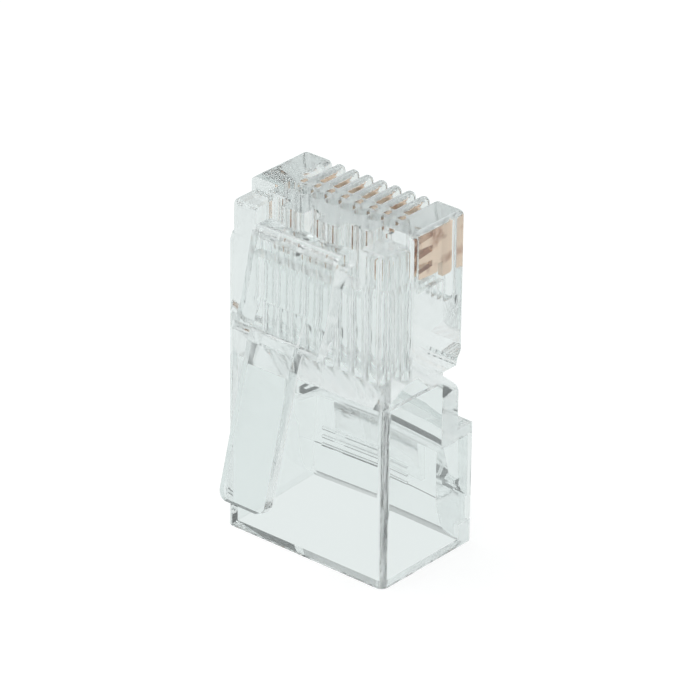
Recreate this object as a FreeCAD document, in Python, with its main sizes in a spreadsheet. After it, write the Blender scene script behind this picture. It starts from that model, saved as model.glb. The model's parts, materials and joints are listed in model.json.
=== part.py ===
# Eight-way modular plug: one clear moulding, a flexing latch and eight blade contacts.
# Millimetres. X runs across the plug, Y from the latch side towards the contact side and
# Z from the cable entry up to the nose. The origin is the centre of the cable entry.
import FreeCAD, Part
import os
import re
import math
import Sketcher
from FreeCAD import Vector

doc = FreeCAD.newDocument("ModularPlug")

# ---------------------------------------------------------------- driving sizes
sheet = doc.addObject("Spreadsheet::Sheet", "Sizes")
sizes = {
    # outside of the moulding; a height that ends in "drop" is measured down from the nose
    "plug_width": 11.68, "plug_length": 21.3, "rear_depth": 8.0, "rim_step": 0.15,
    "rim_height": 2.6, "rear_height": 7.65, "bar_depth": 6.38, "bar_drop": 10.85,
    "bar_round": 0.9, "groove_low_drop": 9.65, "groove_drop": 9.45, "groove_depth": 4.97,
    "nose_depth": 6.72, "nose_step": 0.5, "nose_lip": 0.12, "step_drop": 8.4,
    "step_low_drop": 9.0, "nose_recess": 2.1, "shoulder_drop": 0.7, "shoulder_width": 2.05,
    "shoulder_inset": 0.15, "collar_drop": 2.75, "collar_slope": 0.4, "bay_depth": 1.15,
    "ledge_drop": 3.2, "corner_round": 0.5, "rear_share": 0.9, "edge_round": 0.4,
    "nose_round": 0.35,
    # cable cavity, funnel and conductor channels
    "side_wall": 0.62, "latch_wall": 0.6, "contact_wall": 0.95, "bar_thickness": 1.1,
    "cavity_drop": 10.35, "entry_chamfer": 0.3, "funnel_rise": 0.9, "funnel_margin": 0.5,
    "channel_floor": 2.45, "channel_bore": 0.94, "channel_drop": 0.55,
    # jacket clamp and conductor clamp, hinged in the contact-side wall
    "clamp_face": 5.25, "clamp_foot": 0.3, "clamp_belly": 5.75, "clamp_belly_height": 1.4,
    "clamp_low": 3.1, "clamp_top": 6.48, "clamp_slit": 0.3, "clamp_curve": 1.8,
    "ram_width": 6.4, "ram_low": 3.4, "ram_high": 5.9, "ram_depth": 1.3,
    "rib_height": 0.15, "rib_depth": 0.12, "rib_pitch": 0.5, "rib_count": 3,
    "slit_low": 1.2, "clamp_edge_round": 0.1,
    # contacts and their slots
    "contact_pitch": 1.02, "contact_count": 8, "contact_thickness": 0.33,
    "slot_clearance": 0.02, "slot_floor": 3.72, "slot_drop": 4.4, "slot_front": 4.03,
    "relief_drop": 5.75, "relief_depth": 0.75, "fin_round": 0.3,
    "contact_edge": 6.62, "contact_low_drop": 4.15, "contact_drop": 0.8, "contact_round": 0.4,
    "heel_drop": 3.7, "heel_width": 0.78, "notch_width": 0.42, "notch_drop": 3.2,
    "prong_root": 4.95, "prong_tip": 3.8, "prong_pitch": 0.9, "prong_width": 0.55,
    "prong_point": 0.35, "prong_count": 3, "arm_height": 0.22,
    # latch and the two lugs on the nose that carry it
    "lug_gap": 0.92, "lug_width": 1.58, "lug_drop": 2.5, "lug_face": 0.25,
    "hinge_depth": 0.3, "hinge_drop": 1.65, "knuckle_radius": 0.5, "hinge_gap": 0.03,
    "latch_width": 6.1, "latch_thickness": 0.95, "root_proud": 0.97, "root_relief": 0.5,
    "bend_drop": 5.2, "bend_proud": 1.9, "catch_drop": 6.8, "catch_proud": 2.98,
    "ear_proud": 2.66, "handle_width": 3.3, "handle_thickness": 0.65, "handle_drop": 15.87,
    "handle_proud": 5.42, "handle_round": 0.6,
}
for row, (alias, value) in enumerate(sizes.items(), start=1):
    sheet.set("A%d" % row, alias.replace("_", " "))
    sheet.set("B%d" % row, str(value))
    sheet.setAlias("B%d" % row, alias)
doc.recompute()


def tied(rule):
    """A rule such as "rear_depth / 2" with each size named through the sheet."""
    return re.sub(r"[a-z]+(?:_[a-z]+)+", lambda word: "Sizes." + word.group(0), rule)


def worth(rule):
    return float(sheet.evalExpression(tied(rule).replace("Sizes.", "")))


# ---------------------------------------------------------------- sketching helpers
def bind(thing, prop, rule):
    thing.setExpression(prop, tied(rule))


def newBody(name):
    body = doc.addObject("PartDesign::Body", name)
    body.Label = name
    return body


def newSketch(body, name, plane, lift=None):
    """An empty sketch on one of the body's own origin planes, lifted along its normal."""
    sketch = body.newObject("Sketcher::SketchObject", name)
    origin_plane = [f for f in body.Origin.OriginFeatures if f.Role == plane][0]
    sketch.AttachmentSupport = [(origin_plane, "")]
    sketch.MapMode = "FlatFace"
    if lift:
        bind(sketch, "AttachmentOffset.Base.z", lift)
    return sketch


def pin(sketch, geo, point, across, up):
    """Ties one sketch point to two rules, measured from the sketch's origin."""
    for kind, rule in (("DistanceX", across), ("DistanceY", up)):
        index = sketch.addConstraint(Sketcher.Constraint(kind, -1, 1, geo, point, worth(rule)))
        sketch.setExpression("Constraints[%d]" % index, tied(rule))


def outline(sketch, corners):
    """A closed outline through corners given as (across, up) or (across, up, radius) rules."""
    spots = [Vector(worth(corner[0]), worth(corner[1]), 0) for corner in corners]
    count = len(spots)
    starts, ends = list(spots), [spots[(i + 1) % count] for i in range(count)]
    arcs = {}
    for i, corner in enumerate(corners):
        if len(corner) == 3:
            before = (spots[i - 1] - spots[i]).normalize()
            after = (spots[(i + 1) % count] - spots[i]).normalize()
            bend = before.getAngle(after) / 2
            reach = worth(corner[2]) / math.tan(bend)
            middle = (before + after).normalize()
            depth = worth(corner[2]) / math.sin(bend) - worth(corner[2])
            ends[i - 1] = spots[i] + before * reach
            starts[i] = spots[i] + after * reach
            arcs[i] = Part.Arc(ends[i - 1], spots[i] + middle * depth, starts[i])
    lines = [sketch.addGeometry(Part.LineSegment(starts[i], ends[i]), False) for i in range(count)]
    for i, corner in enumerate(corners):
        if i not in arcs:
            sketch.addConstraint(Sketcher.Constraint("Coincident", lines[i - 1], 2, lines[i], 1))
            pin(sketch, lines[i], 1, corner[0], corner[1])
            continue
        arc = sketch.addGeometry(arcs[i], False)
        begin = sketch.getPoint(arc, 1)
        forward = (begin - starts[i]).Length > (begin - ends[i - 1]).Length
        first, last = (1, 2) if forward else (2, 1)
        tip = sketch.addGeometry(Part.Point(spots[i]), True)
        sketch.addConstraint(Sketcher.Constraint("Tangent", lines[i - 1], 2, arc, first))
        sketch.addConstraint(Sketcher.Constraint("Tangent", arc, last, lines[i], 1))
        sketch.addConstraint(Sketcher.Constraint("PointOnObject", tip, 1, lines[i - 1]))
        sketch.addConstraint(Sketcher.Constraint("PointOnObject", tip, 1, lines[i]))
        pin(sketch, tip, 1, corner[0], corner[1])
        index = sketch.addConstraint(Sketcher.Constraint("Radius", arc, worth(corner[2])))
        sketch.setExpression("Constraints[%d]" % index, tied(corner[2]))


def block(sketch, left, right, low, high):
    outline(sketch, [(left, low), (right, low), (right, high), (left, high)])


def ring(sketch, across, up, radius):
    geo = sketch.addGeometry(Part.Circle(Vector(worth(across), worth(up), 0), Vector(0, 0, 1),
                                         worth(radius)), False)
    pin(sketch, geo, 3, across, up)
    index = sketch.addConstraint(Sketcher.Constraint("Radius", geo, worth(radius)))
    sketch.setExpression("Constraints[%d]" % index, tied(radius))


def pad(body, name, sketch, length):
    """Material the same distance to both sides of the sketch."""
    feature = body.newObject("PartDesign::Pad", name)
    feature.Profile = sketch
    feature.SideType = "Symmetric"
    bind(feature, "Length", length)
    return feature


def pocket(body, name, sketch, length, symmetric=True, flipped=False):
    feature = body.newObject("PartDesign::Pocket", name)
    feature.Profile = sketch
    feature.SideType = "Symmetric" if symmetric else "One side"
    feature.Reversed = flipped
    bind(feature, "Length", length)
    return feature


def rowOf(body, name, feature, sketch, axis):
    """The feature repeated across the plug, one for each contact."""
    pattern = body.newObject("PartDesign::LinearPattern", name)
    pattern.Originals = [feature]
    pattern.Direction = (sketch, [axis])
    bind(pattern, "Length", "contact_pitch * (contact_count - 1)")
    bind(pattern, "Occurrences", "contact_count")
    body.Tip = pattern
    return pattern


def finishEdges(body, name, radius, wanted, kind="PartDesign::Fillet"):
    """Rounds or chamfers every edge of the body that the test picks out."""
    doc.recompute()
    base = body.Tip
    names = ["Edge%d" % (i + 1) for i, edge in enumerate(base.Shape.Edges) if wanted(edge)]
    feature = body.newObject(kind, name)
    feature.Base = (base, names)
    bind(feature, "Radius" if kind.endswith("Fillet") else "Size", radius)
    body.Tip = feature
    return feature


def near(a, b):
    return abs(a - b) < 1e-4


def runsAlong(edge, axis):
    """Whether a straight edge lies along an axis."""
    if edge.Degenerated or edge.Curve.TypeId != "Part::GeomLine":
        return False
    return near(abs(edge.tangentAt(edge.FirstParameter)[axis]), 1)


def liesAt(edge, across=None, deep=None, up=None):
    """Whether both ends of an edge have the given coordinates."""
    for axis, rule in enumerate((across, deep, up)):
        if rule is None:
            continue
        for vertex in edge.Vertexes:
            if not near(vertex.Point[axis], worth(rule)):
                return False
    return True


face = "(-rear_depth / 2)"                      # the latch-side face of the moulding
half = "(plug_width / 2)"
firstX = "(-contact_pitch * (contact_count - 1) / 2)"


def fromFace(rule):
    return face + " + " + rule


def belowNose(rule):
    return "(plug_length - " + rule + ")"


ledge = belowNose("ledge_drop")
cavityTop = belowNose("cavity_drop")
hinge = belowNose("hinge_drop")
bend = belowNose("bend_drop")
catch = belowNose("catch_drop")
contactTop = belowNose("contact_drop")


# ---------------------------------------------------------------- housing
housing = newBody("housing")

# a column with rounded corners, cut back to the side profile of rear block, clamp bar,
# strain-relief groove and nose
rearRound = "min(corner_round; (rear_depth - nose_depth) * rear_share)"
plan = newSketch(housing, "Plan", "XY_Plane")
outline(plan, [
    ("-plug_width / 2", face, "corner_round"),
    ("plug_width / 2", face, "corner_round"),
    ("plug_width / 2", fromFace("rear_depth"), rearRound),
    ("-plug_width / 2", fromFace("rear_depth"), rearRound),
])
column = housing.newObject("PartDesign::Pad", "Column")
column.Profile = plan
bind(column, "Length", "plug_length")
contactSide = newSketch(housing, "ContactSide", "YZ_Plane")
outline(contactSide, [
    (fromFace("nose_depth"), "plug_length + nose_recess"),
    (fromFace("nose_depth"), belowNose("step_drop")),
    (fromFace("nose_depth - nose_step"), belowNose("step_low_drop")),
    (fromFace("nose_depth - nose_step - nose_lip"), belowNose("groove_drop")),
    (fromFace("groove_depth"), belowNose("groove_drop")),
    (fromFace("groove_depth"), belowNose("groove_low_drop")),
    (fromFace("bar_depth"), belowNose("bar_drop"), "bar_round"),
    (fromFace("bar_depth"), "rear_height"),
    (fromFace("rear_depth"), "rear_height", "edge_round"),
    (fromFace("rear_depth"), "rear_height - 2 * edge_round"),
    (fromFace("2 * rear_depth"), "rear_height - 2 * edge_round"),
    (fromFace("2 * rear_depth"), "plug_length + nose_recess"),
])
pocket(housing, "ContactSideCut", contactSide, "2 * plug_width")
rim = newSketch(housing, "Rim", "YZ_Plane")
block(rim, fromFace("rear_depth - rim_step"), fromFace("rear_depth + rim_step"), "-rim_height", "rim_height")
pocket(housing, "RimCut", rim, "2 * plug_width")

# a slimmer collar at the latch side, with the latch's bay between two shoulders
collarHeight, shoulderTop = belowNose("collar_drop"), belowNose("shoulder_drop")
collarSide, collarFace = "(plug_width / 2 - shoulder_inset)", fromFace("shoulder_inset")
collar = newSketch(housing, "Collar", "XY_Plane", collarHeight)
outline(collar, [
    ("-plug_width", fromFace("-nose_recess")),
    ("plug_width", fromFace("-nose_recess")),
    ("plug_width", fromFace("nose_recess")),
    (collarSide, fromFace("nose_recess")),
    (collarSide, collarFace, "corner_round"),
    ("-" + collarSide, collarFace, "corner_round"),
    ("-" + collarSide, fromFace("nose_recess")),
    ("-plug_width", fromFace("nose_recess")),
])
pocket(housing, "CollarCut", collar, "plug_length", False, True)


def outermost(edge, across, deep, up):
    """Whether an edge at one height keeps to the two sides and the latch face."""
    return liesAt(edge, up=up) and all(near(abs(v.X), worth(across)) or near(v.Y, worth(deep))
                                       for v in edge.Vertexes)


slope = finishEdges(housing, "CollarSlope", "shoulder_inset - hinge_gap",
                    lambda edge: outermost(edge, half, face, collarHeight), "PartDesign::Chamfer")
slope.ChamferType, slope.FlipDirection = "Two distances", True
bind(slope, "Size2", "collar_slope")

for side, sign in (("Left", "-"), ("Right", "")):
    top = newSketch(housing, side + "ShoulderTop", "XY_Plane", shoulderTop)
    inner, outer = sign + "(plug_width / 2 - shoulder_width)", sign + "plug_width"
    edges = (outer, inner) if side == "Left" else (inner, outer)
    block(top, *edges, fromFace("-nose_recess"), fromFace("nose_recess"))
    pocket(housing, side + "ShoulderTopCut", top, "plug_length", False, True)
bay = newSketch(housing, "LatchBay", "YZ_Plane")
block(bay, fromFace("-nose_recess"), fromFace("bay_depth"), ledge, "plug_length + nose_recess")
pocket(housing, "LatchBayCut", bay, "plug_width - 2 * shoulder_width")
finishEdges(housing, "ShoulderRounds", "nose_round",
            lambda edge: outermost(edge, collarSide, collarFace, shoulderTop))
finishEdges(housing, "NoseRounds", "nose_round", lambda edge: (
    runsAlong(edge, 2) and near(abs(edge.Vertexes[0].X), worth(half))
    and liesAt(edge, deep=fromFace("nose_depth"))) or (
    liesAt(edge, up="plug_length") and (liesAt(edge, deep=fromFace("nose_depth"))
                                        or all(near(abs(v.X), worth(half)) for v in edge.Vertexes))))

# cable cavity, open at the bottom, and deeper behind the jacket clamp
cavityHalf = "(plug_width / 2 - side_wall)"
cavity = newSketch(housing, "CableCavity", "XY_Plane")
block(cavity, "-" + cavityHalf, cavityHalf, fromFace("latch_wall"),
      fromFace("bar_depth - bar_thickness"))
pocket(housing, "CableCavityCut", cavity, cavityTop, False, True)
rear = newSketch(housing, "RearCavity", "XY_Plane")
block(rear, "-" + cavityHalf, cavityHalf, fromFace("latch_wall"),
      fromFace("rear_depth - rim_step - contact_wall"))
pocket(housing, "RearCavityCut", rear, "clamp_top + clamp_slit", False, True)
finishEdges(housing, "EntryChamfer", "entry_chamfer", lambda edge: liesAt(edge, up="0")
            and all(abs(v.X) < worth(cavityHalf) + 1e-4 for v in edge.Vertexes)
            and all(v.Y < worth(fromFace("rear_depth - 2 * rim_step")) for v in edge.Vertexes)
            and all(v.Y > worth(face) + 1e-4 for v in edge.Vertexes), "PartDesign::Chamfer")

# funnel from the cavity to the conductor channels, and one blind channel for each conductor
funnel = newSketch(housing, "Funnel", "YZ_Plane")
outline(funnel, [
    (fromFace("latch_wall"), cavityTop + " - funnel_margin"),
    (fromFace("latch_wall"), cavityTop),
    (fromFace("channel_floor"), cavityTop + " + funnel_rise"),
    (fromFace("channel_floor + channel_bore"), cavityTop + " + funnel_rise"),
    (fromFace("groove_depth - latch_wall"), cavityTop),
    (fromFace("groove_depth - latch_wall"), cavityTop + " - funnel_margin"),
])
pocket(housing, "FunnelCut", funnel, "contact_pitch * contact_count + 2 * side_wall")
channel = newSketch(housing, "Channel", "XY_Plane", cavityTop)
ring(channel, firstX, fromFace("channel_floor + channel_bore / 2"), "channel_bore / 2")
bored = pocket(housing, "ChannelCut", channel, "cavity_drop - channel_drop", False, True)
rowOf(housing, "Channels", bored, channel, "H_Axis")

# a slot for each blade, open to the contact side and the nose, with a shallow relief below
slot = newSketch(housing, "ContactSlot", "YZ_Plane", firstX)
outline(slot, [
    (fromFace("slot_floor"), belowNose("slot_drop")),
    (fromFace("nose_depth - relief_depth"), belowNose("slot_drop")),
    (fromFace("nose_depth - relief_depth"), belowNose("relief_drop")),
    (fromFace("2 * nose_depth"), belowNose("relief_drop")),
    (fromFace("2 * nose_depth"), "plug_length + nose_recess"),
    (fromFace("slot_front"), "plug_length + nose_recess"),
    (fromFace("slot_front"), contactTop + " + slot_clearance"),
    (fromFace("slot_floor"), contactTop + " + slot_clearance"),
])
slotted = pocket(housing, "ContactSlotCut", slot, "contact_thickness + 2 * slot_clearance")
rowOf(housing, "ContactSlots", slotted, slot, "N_Axis")
finishEdges(housing, "FinRounds", "fin_round", lambda edge: runsAlong(edge, 2)
            and liesAt(edge, deep=fromFace("nose_depth"))
            and abs(edge.Vertexes[0].X) < worth("contact_pitch * contact_count / 2"))

# jacket clamp: a wedge inside the contact-side wall that turns about its foot at the rim
insideWall = "rear_depth - rim_step - contact_wall"
wedge = newSketch(housing, "JacketClamp", "YZ_Plane")
outline(wedge, [
    (fromFace(insideWall), "clamp_foot"),
    (fromFace("clamp_belly"), "clamp_belly_height", "clamp_curve"),
    (fromFace("clamp_face"), "clamp_low", "clamp_curve"),
    (fromFace("clamp_face"), "clamp_top", "clamp_edge_round"),
    (fromFace(insideWall), "clamp_top"),
])
pad(housing, "JacketClampPad", wedge, "2 * " + cavityHalf + " - 2 * clamp_slit")
ribs = newSketch(housing, "ClampRibs", "YZ_Plane")
for i in range(int(sizes["rib_count"])):
    low = "clamp_low + %d * rib_pitch" % (i + 1)
    block(ribs, fromFace("clamp_face - rib_depth"), fromFace("clamp_face + rib_depth"),
          low, low + " + rib_height")
pad(housing, "ClampRibsPad", ribs, "ram_width")
ram = newSketch(housing, "RamPocket", "YZ_Plane")
outline(ram, [
    (fromFace("rear_depth + rim_step"), "ram_low"),
    (fromFace("rear_depth - ram_depth / 2"), "ram_low"),
    (fromFace("rear_depth - ram_depth"), "ram_high"),
    (fromFace("rear_depth + rim_step"), "ram_high"),
])
pocket(housing, "RamPocketCut", ram, "ram_width")
for side, sign in (("Left", "-"), ("Right", "")):
    slit = newSketch(housing, side + "ClampSlit", "XZ_Plane", "-(" + fromFace("rear_depth") + ")")
    inner, outer = "(" + cavityHalf + " - clamp_slit)", cavityHalf
    xs = ("-" + outer, "-" + inner) if sign else (inner, outer)
    block(slit, *xs, "slit_low", "clamp_top + clamp_slit")
    pocket(housing, side + "ClampSlitCut", slit, "2 * contact_wall + 2 * rim_step")

# two lugs on the nose, with the round seat that the latch's root turns in
lugs = newSketch(housing, "Lugs", "XY_Plane", belowNose("lug_drop"))
for xs in (("-(lug_gap / 2 + lug_width)", "-(lug_gap / 2)"), ("lug_gap / 2", "lug_gap / 2 + lug_width")):
    block(lugs, *xs, fromFace("lug_face"), fromFace("nose_recess"))
lugPad = housing.newObject("PartDesign::Pad", "LugsPad")
lugPad.Profile = lugs
bind(lugPad, "Length", "lug_drop")
seat = newSketch(housing, "HingeSeat", "YZ_Plane")
ring(seat, fromFace("hinge_depth"), hinge, "knuckle_radius + hinge_gap")
pocket(housing, "HingeSeatCut", seat, "latch_width")

# ---------------------------------------------------------------- latch
latch = newBody("latch")
slab = newSketch(latch, "Slab", "YZ_Plane")
outline(slab, [
    (fromFace("-ear_proud"), catch),
    (fromFace("-bend_proud"), bend, "clamp_curve"),
    (fromFace("-root_proud"), hinge + " + knuckle_radius", "knuckle_radius"),
    (fromFace("hinge_depth"), hinge + " + knuckle_radius"),
    (fromFace("hinge_depth"), hinge),
    (fromFace("-root_relief"), ledge, "knuckle_radius"),
    (fromFace("-bend_proud + latch_thickness"), bend, "clamp_curve"),
    (fromFace("-ear_proud + latch_thickness"), catch),
])
pad(latch, "SlabPad", slab, "latch_width")
knuckle = newSketch(latch, "Knuckle", "YZ_Plane")
ring(knuckle, fromFace("hinge_depth"), hinge, "knuckle_radius")
pad(latch, "KnucklePad", knuckle, "latch_width - 2 * hinge_gap")
handle = newSketch(latch, "Handle", "YZ_Plane")
outline(handle, [
    (fromFace("-handle_proud"), belowNose("handle_drop")),
    (fromFace("-catch_proud"), catch),
    (fromFace("-bend_proud"), bend + " + handle_thickness / 2"),
    (fromFace("-bend_proud + latch_thickness"), bend),
    (fromFace("-catch_proud + latch_thickness"), catch, "knuckle_radius"),
    (fromFace("-catch_proud + handle_thickness"), catch + " - latch_thickness", "knuckle_radius"),
    (fromFace("-handle_proud + handle_thickness"), belowNose("handle_drop") + " - handle_thickness / 4"),
])
pad(latch, "HandlePad", handle, "handle_width")
finishEdges(latch, "HandleCorners", "handle_round", lambda edge: not runsAlong(edge, 0) and all(
    near(abs(v.X), worth("handle_width / 2")) and v.Z < worth(belowNose("handle_drop")) + 1e-4
    for v in edge.Vertexes))


# ---------------------------------------------------------------- contacts
def buildContact(number):
    """A stamped blade: rounded mating edge, notched heel and pointed prongs on the wire side."""
    blade = newBody("contact_%d" % number)
    shape = newSketch(blade, "Blade", "YZ_Plane", firstX + " + %d * contact_pitch" % (number - 1))
    corners = [
        (fromFace("contact_edge"), contactTop, "contact_round"),
        (fromFace("contact_edge"), belowNose("contact_low_drop"), "contact_round / 2"),
        (fromFace("contact_edge - heel_width"), belowNose("contact_low_drop")),
        (fromFace("contact_edge - heel_width"), belowNose("notch_drop")),
        (fromFace("contact_edge - heel_width - notch_width"), belowNose("notch_drop")),
        (fromFace("contact_edge - heel_width - notch_width"), belowNose("heel_drop")),
    ]
    for i in range(int(sizes["prong_count"])):
        low = belowNose("heel_drop") + " + %d * prong_pitch" % i
        corners += [
            (fromFace("prong_root"), low),
            (fromFace("prong_tip"), low + " + prong_width / 2 - prong_point / 2"),
            (fromFace("prong_tip"), low + " + prong_width / 2 + prong_point / 2"),
            (fromFace("prong_root"), low + " + prong_width"),
        ]
    corners += [
        (fromFace("prong_root"), contactTop + " - arm_height"),
        (fromFace("prong_tip"), contactTop + " - arm_height"),
        (fromFace("prong_tip"), contactTop),
    ]
    outline(shape, corners[::-1])
    pad(blade, "BladePad", shape, "contact_thickness")
    return blade


contacts = [buildContact(number) for number in range(1, int(sizes["contact_count"]) + 1)]

# ---------------------------------------------------------------- checks and files
doc.recompute()
for thing in doc.Objects:
    if "Invalid" in thing.State or "Error" in thing.State:
        raise RuntimeError("%s failed: %s" % (thing.Label, thing.State))

nodes = [housing, latch] + contacts
for node in nodes:
    if node.Shape.isNull() or not node.Shape.isValid() or len(node.Shape.Solids) != 1:
        raise RuntimeError(node.Label + " isn't one valid solid")

os.makedirs("parts", exist_ok=True)
for node in nodes:
    node.Shape.exportStep("parts/" + node.Label + ".step")
    print("%-10s %9.3f mm3" % (node.Label, node.Shape.Volume))
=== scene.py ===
import json
import math
import bmesh
import bpy
from mathutils import Matrix, Vector


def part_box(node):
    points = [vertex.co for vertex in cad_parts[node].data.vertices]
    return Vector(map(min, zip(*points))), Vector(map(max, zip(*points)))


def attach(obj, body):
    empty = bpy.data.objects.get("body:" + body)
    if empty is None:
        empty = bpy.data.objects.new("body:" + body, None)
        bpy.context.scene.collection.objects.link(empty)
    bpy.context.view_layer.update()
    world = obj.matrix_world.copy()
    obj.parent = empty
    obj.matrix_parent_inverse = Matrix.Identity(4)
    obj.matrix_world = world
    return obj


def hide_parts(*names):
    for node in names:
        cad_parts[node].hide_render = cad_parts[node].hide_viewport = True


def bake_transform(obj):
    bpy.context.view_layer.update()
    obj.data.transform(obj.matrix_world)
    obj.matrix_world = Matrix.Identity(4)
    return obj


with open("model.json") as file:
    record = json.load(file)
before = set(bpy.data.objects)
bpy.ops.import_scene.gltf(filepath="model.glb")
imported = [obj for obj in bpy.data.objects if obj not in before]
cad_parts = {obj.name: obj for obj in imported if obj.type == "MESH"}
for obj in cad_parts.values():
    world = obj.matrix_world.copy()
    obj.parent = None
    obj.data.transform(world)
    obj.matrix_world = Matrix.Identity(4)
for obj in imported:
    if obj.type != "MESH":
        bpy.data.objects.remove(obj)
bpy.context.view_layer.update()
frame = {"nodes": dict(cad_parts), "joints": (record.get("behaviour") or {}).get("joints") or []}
scene = bpy.context.scene
mm = 0.001
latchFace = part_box("housing")[0].y      # the flat side that carries the latch
print("frame loaded:", len(frame["nodes"]), "nodes")


def newMaterial(name):
    made = bpy.data.materials.new(name)
    made.use_nodes = True
    return made, made.node_tree.nodes, made.node_tree.links


def addNode(nodes, kind, settings=None, values=None):
    made = nodes.new(kind)
    for key, value in (settings or {}).items():
        setattr(made, key, value)
    for key, value in (values or {}).items():
        made.inputs[key].default_value = value
    return made


def addNoise(nodes, links, scale):
    place = addNode(nodes, "ShaderNodeTexCoord")
    noise = addNode(nodes, "ShaderNodeTexNoise", values={"Scale": scale})
    links.new(place.outputs["Object"], noise.inputs["Vector"])
    return noise.outputs["Fac"]


# clear polycarbonate: a faint green-grey, polished but not quite evenly
clearPlastic = {
    "tint": (0.955, 0.970, 0.968, 1), "ior": 1.585, "clarity": 0.99,
    "polishScale": 260, "polishSpread": (0.3, 0.7), "roughness": (0.006, 0.02),
}


def makeClearPlastic():
    made, nodes, links = newMaterial("clearPolycarbonate")
    shader = nodes["Principled BSDF"]
    shader.inputs["Base Color"].default_value = clearPlastic["tint"]
    shader.inputs["IOR"].default_value = clearPlastic["ior"]
    shader.inputs["Transmission Weight"].default_value = clearPlastic["clarity"]
    low, high = clearPlastic["polishSpread"]
    smoothest, roughest = clearPlastic["roughness"]
    polish = addNode(nodes, "ShaderNodeMapRange", values={
        "From Min": low, "From Max": high, "To Min": smoothest, "To Max": roughest})
    links.new(addNoise(nodes, links, clearPlastic["polishScale"]), polish.inputs["Value"])
    links.new(polish.outputs["Result"], shader.inputs["Roughness"])
    return made


# plated copper alloy, a little uneven where it was stamped
contactFinish = {
    "deep": (0.52, 0.25, 0.14, 1), "pale": (1.0, 0.75, 0.58, 1), "deepBelow": 0.30, "paleAbove": 0.45,
    "roughness": 0.32, "patchScale": 900,
}


def makeContactMetal():
    made, nodes, links = newMaterial("platedContact")
    shader = nodes["Principled BSDF"]
    shader.inputs["Metallic"].default_value = 1
    shader.inputs["Roughness"].default_value = contactFinish["roughness"]
    patches = addNode(nodes, "ShaderNodeValToRGB")
    first, last = patches.color_ramp.elements
    first.position, first.color = contactFinish["deepBelow"], contactFinish["deep"]
    last.position, last.color = contactFinish["paleAbove"], contactFinish["pale"]
    links.new(addNoise(nodes, links, contactFinish["patchScale"]), patches.inputs["Fac"])
    links.new(patches.outputs["Color"], shader.inputs["Base Color"])
    return made


plastic = makeClearPlastic()
metal = makeContactMetal()
print("materials made")


# a crease is sharp where two broad faces meet, smooth where a facet belongs to a curve
creases = {
    "merge": 0.002 * mm, "sliver": 0.001 * mm, "flatAngle": 1,
    "broad": 0.3 * mm, "broadAngle": 12, "curveAngle": 40, "bevelAngle": 35, "bevelSteps": 2,
}


def newPiece(name, work):
    mesh = bpy.data.meshes.new(name)
    work.to_mesh(mesh)
    work.free()
    piece = bpy.data.objects.new(name, mesh)
    scene.collection.objects.link(piece)
    return piece


def mergedCopy(node, name):
    work = bmesh.new()
    work.from_mesh(frame["nodes"][node].data)
    bmesh.ops.remove_doubles(work, verts=work.verts, dist=creases["merge"])
    bmesh.ops.dissolve_degenerate(work, edges=work.edges, dist=creases["sliver"])
    return newPiece(name, work)


def applied(piece):
    shown = piece.evaluated_get(bpy.context.evaluated_depsgraph_get())
    mesh = bpy.data.meshes.new_from_object(shown)
    piece.modifiers.clear()
    piece.data = mesh
    return piece


def breadth(face):
    return face.calc_area() / max(edge.calc_length() for edge in face.edges)


def softened(piece, width):
    work = bmesh.new()
    work.from_mesh(piece.data)
    bmesh.ops.dissolve_limit(work, angle_limit=math.radians(creases["flatAngle"]),
                             verts=work.verts, edges=work.edges)
    for edge in work.edges:
        if len(edge.link_faces) != 2:
            continue
        broad = min(breadth(face) for face in edge.link_faces) > creases["broad"]
        limit = creases["broadAngle"] if broad else creases["curveAngle"]
        edge.smooth = edge.calc_face_angle(0) < math.radians(limit)
    for face in work.faces:
        face.smooth = True
    work.to_mesh(piece.data)
    work.free()
    bevel = piece.modifiers.new("softEdges", "BEVEL")
    bevel.width = width
    bevel.segments = creases["bevelSteps"]
    bevel.limit_method = "ANGLE"
    bevel.angle_limit = math.radians(creases["bevelAngle"])
    bevel.harden_normals = True
    return applied(piece)


def dressed(piece, material):
    piece.data.materials.clear()
    piece.data.materials.append(material)
    return piece


# housing and latch are one moulding: a rod fills the root, where the latch bends
moulding = {
    "edgeSoftness": 0.05 * mm, "rodRadius": 0.54 * mm, "rodInset": 0.1 * mm, "rodSides": 48,
    "bendStart": 0.02 * mm, "bendReach": 0.4 * mm,
}


def makeRootRod(hinge):
    low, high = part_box("latch")
    work = bmesh.new()
    bmesh.ops.create_cone(work, cap_ends=True, segments=moulding["rodSides"],
                          radius1=moulding["rodRadius"], radius2=moulding["rodRadius"],
                          depth=high.x - low.x - 2 * moulding["rodInset"],
                          matrix=Matrix.Translation(hinge) @ Matrix.Rotation(math.pi / 2, 4, "Y"))
    return newPiece("rootRod", work)


def makeMoulding():
    hinge = Vector(frame["joints"][0]["pos_m"])
    body = mergedCopy("housing", "clearMoulding")
    for other in (mergedCopy("latch", "latchCopy"), makeRootRod(hinge)):
        join = body.modifiers.new("fuse", "BOOLEAN")
        join.operation = "UNION"
        join.solver = "EXACT"
        join.object = other
        applied(body)
        bpy.data.objects.remove(other)
    dressed(softened(body, moulding["edgeSoftness"]), plastic)
    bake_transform(body)
    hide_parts("housing", "latch")


makeMoulding()
print("moulding made")


blades = {"nodes": ["contact_%d" % number for number in range(1, 9)], "edgeSoftness": 0.03 * mm}


def middle(node):
    low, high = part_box(node)
    return (low + high) / 2


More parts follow.
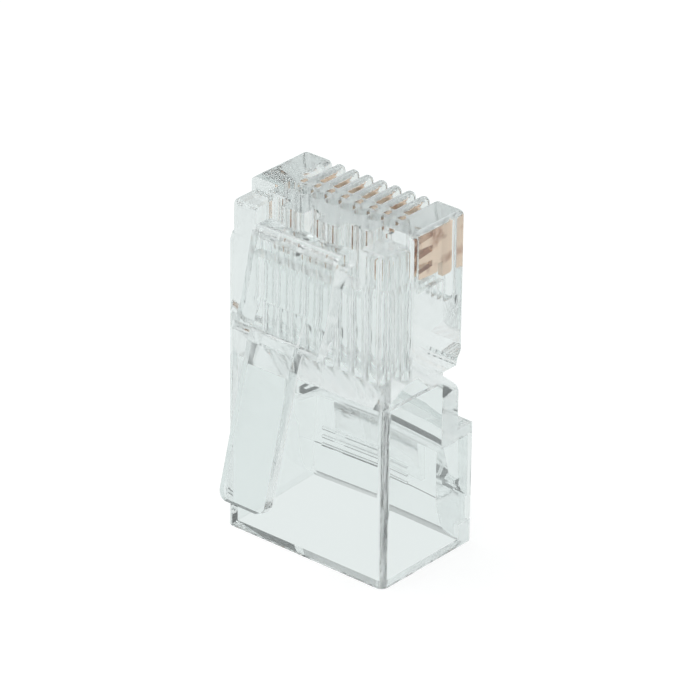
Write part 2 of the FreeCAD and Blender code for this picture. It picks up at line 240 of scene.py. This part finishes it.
def makeRowGroup():
    group = bpy.data.node_groups.new("contactRow", "GeometryNodeTree")
    face = group.interface
    face.new_socket("Blade", in_out="INPUT", socket_type="NodeSocketGeometry")
    inputs = {
        "count": face.new_socket("Count", in_out="INPUT", socket_type="NodeSocketInt"),
        "pitch": face.new_socket("Pitch", in_out="INPUT", socket_type="NodeSocketVector"),
        "finish": face.new_socket("Finish", in_out="INPUT", socket_type="NodeSocketMaterial"),
    }
    face.new_socket("Row", in_out="OUTPUT", socket_type="NodeSocketGeometry")
    nodes, links = group.nodes, group.links
    given, result = nodes.new("NodeGroupInput"), nodes.new("NodeGroupOutput")
    line = addNode(nodes, "GeometryNodeMeshLine", {"mode": "OFFSET"})
    spread = nodes.new("GeometryNodeInstanceOnPoints")
    solid = nodes.new("GeometryNodeRealizeInstances")
    paint = nodes.new("GeometryNodeSetMaterial")
    links.new(given.outputs["Count"], line.inputs["Count"])
    links.new(given.outputs["Pitch"], line.inputs["Offset"])
    links.new(line.outputs["Mesh"], spread.inputs["Points"])
    links.new(given.outputs["Blade"], spread.inputs["Instance"])
    links.new(spread.outputs["Instances"], solid.inputs["Geometry"])
    links.new(solid.outputs["Geometry"], paint.inputs["Geometry"])
    links.new(given.outputs["Finish"], paint.inputs["Material"])
    links.new(paint.outputs["Geometry"], result.inputs["Row"])
    return group, {name: socket.identifier for name, socket in inputs.items()}


# the first blade, repeated at the pitch of the row
def makeContactRow():
    first, last, count = blades["nodes"][0], blades["nodes"][-1], len(blades["nodes"])
    row = softened(mergedCopy(first, "contactRow"), blades["edgeSoftness"])
    group, names = makeRowGroup()
    repeat = row.modifiers.new("row", "NODES")
    repeat.node_group = group
    repeat[names["count"]] = count
    repeat[names["pitch"]] = (middle(last) - middle(first)) / (count - 1)
    repeat[names["finish"]] = metal
    applied(row)
    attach(row, "plug")
    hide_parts(*blades["nodes"])


makeContactRow()
print("contact row made")


# a pale floor: white with the shadow on it to the camera, even to metal and clear plastic
floorLook = {
    "reach": 1.5, "drop": 0.02 * mm, "colour": (0.3, 0.3, 0.3, 1), "roughness": 0.9,
    "glow": 0.80, "through": (0.82, 0.865, 0.858, 1),
}


def makeFloor():
    reach, level = floorLook["reach"], -floorLook["drop"]
    mesh = bpy.data.meshes.new("floor")
    corners = [(x * reach, y * reach, level) for x, y in ((-1, -1), (1, -1), (1, 1), (-1, 1))]
    mesh.from_pydata(corners, [], [(0, 1, 2, 3)])
    floor = bpy.data.objects.new("floor", mesh)
    scene.collection.objects.link(floor)
    made, nodes, links = newMaterial("paleFloor")
    shader = nodes["Principled BSDF"]
    shader.inputs["Base Color"].default_value = floorLook["colour"]
    shader.inputs["Roughness"].default_value = floorLook["roughness"]
    shader.inputs["Specular IOR Level"].default_value = 0
    path = addNode(nodes, "ShaderNodeLightPath")
    lift = addNode(nodes, "ShaderNodeMath", {"operation": "MULTIPLY"}, {1: floorLook["glow"]})
    links.new(path.outputs["Is Camera Ray"], lift.inputs[0])
    glow = addNode(nodes, "ShaderNodeEmission")
    links.new(lift.outputs[0], glow.inputs["Strength"])
    lit = addNode(nodes, "ShaderNodeAddShader")
    links.new(shader.outputs[0], lit.inputs[0])
    links.new(glow.outputs[0], lit.inputs[1])
    through = addNode(nodes, "ShaderNodeMath", {"operation": "MAXIMUM"})
    links.new(path.outputs["Is Transmission Ray"], through.inputs[0])
    links.new(path.outputs["Is Glossy Ray"], through.inputs[1])
    even = addNode(nodes, "ShaderNodeEmission", values={"Color": floorLook["through"]})
    mix = addNode(nodes, "ShaderNodeMixShader")
    links.new(through.outputs[0], mix.inputs["Fac"])
    links.new(lit.outputs[0], mix.inputs[1])
    links.new(even.outputs[0], mix.inputs[2])
    links.new(mix.outputs[0], nodes["Material Output"].inputs["Surface"])
    dressed(floor, made)


# a white tent, darker where it opens behind the object and at the top
tent = {
    "low": (0.82, 0.865, 0.858, 1), "top": (0.87, 0.91, 0.905, 1), "lowBelow": -0.2, "topAbove": 0.9,
    "openings": [
        {"towards": (-0.57, 0.68, 0.15), "start": 0.82, "full": 0.94, "colour": (0.10, 0.11, 0.11, 1)},
        {"towards": (0, 0, 1), "start": 0.88, "full": 0.97, "colour": (0.42, 0.45, 0.45, 1)},
    ],
}


def mixed(nodes, links, share, below, above):
    blend = addNode(nodes, "ShaderNodeMix", {"data_type": "RGBA"})
    links.new(share, blend.inputs["Factor"])
    for socket, colour in zip((s for s in blend.inputs if s.type == "RGBA"), (below, above)):
        if isinstance(colour, tuple):
            socket.default_value = colour
        else:
            links.new(colour, socket)
    return next(s for s in blend.outputs if s.type == "RGBA")


def makeTent():
    world = bpy.data.worlds.new("tent")
    scene.world = world
    world.use_nodes = True
    nodes, links = world.node_tree.nodes, world.node_tree.links
    heading = addNode(nodes, "ShaderNodeTexCoord").outputs["Generated"]
    split = addNode(nodes, "ShaderNodeSeparateXYZ")
    links.new(heading, split.inputs[0])
    height = addNode(nodes, "ShaderNodeMapRange", values={
        "From Min": tent["lowBelow"], "From Max": tent["topAbove"]})
    links.new(split.outputs["Z"], height.inputs["Value"])
    colour = mixed(nodes, links, height.outputs["Result"], tent["low"], tent["top"])
    for opening in tent["openings"]:
        along = addNode(nodes, "ShaderNodeVectorMath", {"operation": "DOT_PRODUCT"})
        along.inputs[1].default_value = Vector(opening["towards"]).normalized()
        links.new(heading, along.inputs[0])
        near = addNode(nodes, "ShaderNodeMapRange", {"interpolation_type": "SMOOTHSTEP"},
                       {"From Min": opening["start"], "From Max": opening["full"]})
        links.new(along.outputs["Value"], near.inputs["Value"])
        colour = mixed(nodes, links, near.outputs["Result"], colour, opening["colour"])
    cloth = addNode(nodes, "ShaderNodeBackground")
    links.new(colour, cloth.inputs["Color"])
    backdrop = nodes["Background"]
    backdrop.inputs["Color"].default_value = (1, 1, 1, 1)
    path = addNode(nodes, "ShaderNodeLightPath")
    mix = addNode(nodes, "ShaderNodeMixShader")
    links.new(path.outputs["Is Camera Ray"], mix.inputs["Fac"])
    links.new(cloth.outputs[0], mix.inputs[1])
    links.new(backdrop.outputs[0], mix.inputs[2])
    links.new(mix.outputs[0], nodes["World Output"].inputs["Surface"])


# one soft lamp gives the plug its shadow
keyPanel = {"place": (-0.35, -0.15, 0.45), "aim": (0, 0, 0.01), "side": 0.4, "power": 0.8}


def addKeyPanel():
    place, aim = Vector(keyPanel["place"]), Vector(keyPanel["aim"])
    lamp = bpy.data.lights.new("keyPanel", "AREA")
    lamp.shape = "RECTANGLE"
    lamp.size = lamp.size_y = keyPanel["side"]
    lamp.energy = keyPanel["power"]
    panel = bpy.data.objects.new("keyPanel", lamp)
    scene.collection.objects.link(panel)
    panel.location = place
    panel.visible_transmission = False
    panel.rotation_mode = "QUATERNION"
    panel.rotation_quaternion = (aim - place).to_track_quat("-Z", "Y")


# angles in degrees, distances in metres
view = {
    "azimuth": 40.148, "elevation": 27.528, "roll": 0.721, "distance": 0.296955,
    "target": Vector((0, latchFace + 4 * mm, 11 * mm)), "lens": 272.11, "sensor": 36,
    "shiftX": -0.00229, "shiftY": 0.01390, "clip": (0.01, 10),
}


def makeCamera():
    azimuth, elevation, roll = (math.radians(view[k]) for k in ("azimuth", "elevation", "roll"))
    back = Vector((math.sin(azimuth) * math.cos(elevation), -math.cos(azimuth) * math.cos(elevation),
                   math.sin(elevation)))
    right = Vector((0, 0, 1)).cross(back).normalized()
    up = back.cross(right)
    side = right * math.cos(roll) + up * math.sin(roll)
    top = up * math.cos(roll) - right * math.sin(roll)
    data = bpy.data.cameras.new("productCamera")
    data.lens, data.sensor_width = view["lens"], view["sensor"]
    data.shift_x, data.shift_y = view["shiftX"], view["shiftY"]
    data.clip_start, data.clip_end = view["clip"]
    camera = bpy.data.objects.new("productCamera", data)
    scene.collection.objects.link(camera)
    turn = Matrix((side, top, back)).transposed().to_4x4()
    camera.matrix_world = Matrix.Translation(view["target"] + back * view["distance"]) @ turn
    scene.camera = camera


makeFloor()
makeTent()
addKeyPanel()
makeCamera()
scene.view_settings.view_transform = "Standard"
# light bounces many times inside the clear walls
scene.cycles.max_bounces = 64
scene.cycles.transmission_bounces = 64
scene.cycles.glossy_bounces = 48
scene.cycles.transparent_max_bounces = 16
print("floor, tent, lamp and camera set")
